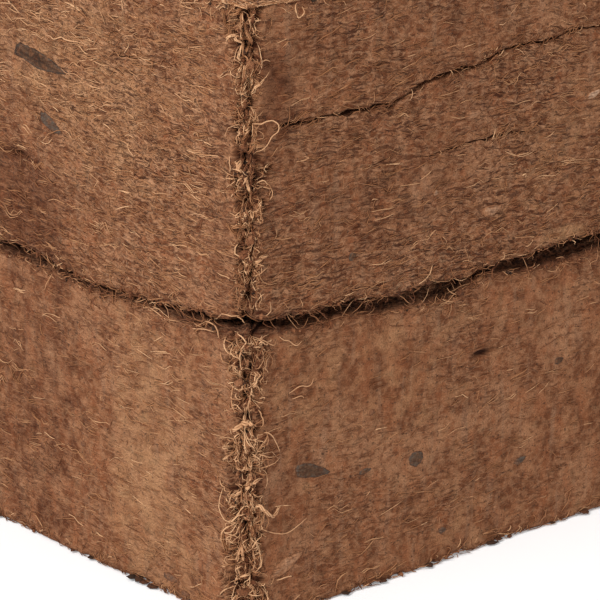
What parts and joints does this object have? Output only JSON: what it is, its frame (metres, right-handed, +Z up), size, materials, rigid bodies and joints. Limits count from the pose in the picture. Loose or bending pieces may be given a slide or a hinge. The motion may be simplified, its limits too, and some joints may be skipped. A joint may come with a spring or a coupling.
{
  "type": "coconut coir bale",
  "caption": "Square block of pressed coconut coir that has parted along a level seam, with worn upright corners and a flat base to stand on.",
  "frame": {"origin": "middle of the flat underside", "axes": "+Z up, the direction of pressing; +X and +Y square to the side faces; the surveyed upright corner is at +X, -Y"},
  "size_m": [0.3, 0.3, 0.15],
  "materials": {
    "upper_layer": "dry matt felt of pressed fibres and pith",
    "lower_layer": "dry matt felt of pressed fibres and pith"
  },
  "bodies": {
    "root": {"upper_layer": "upper_layer", "lower_layer": "lower_layer"}
  },
  "joints": []
}
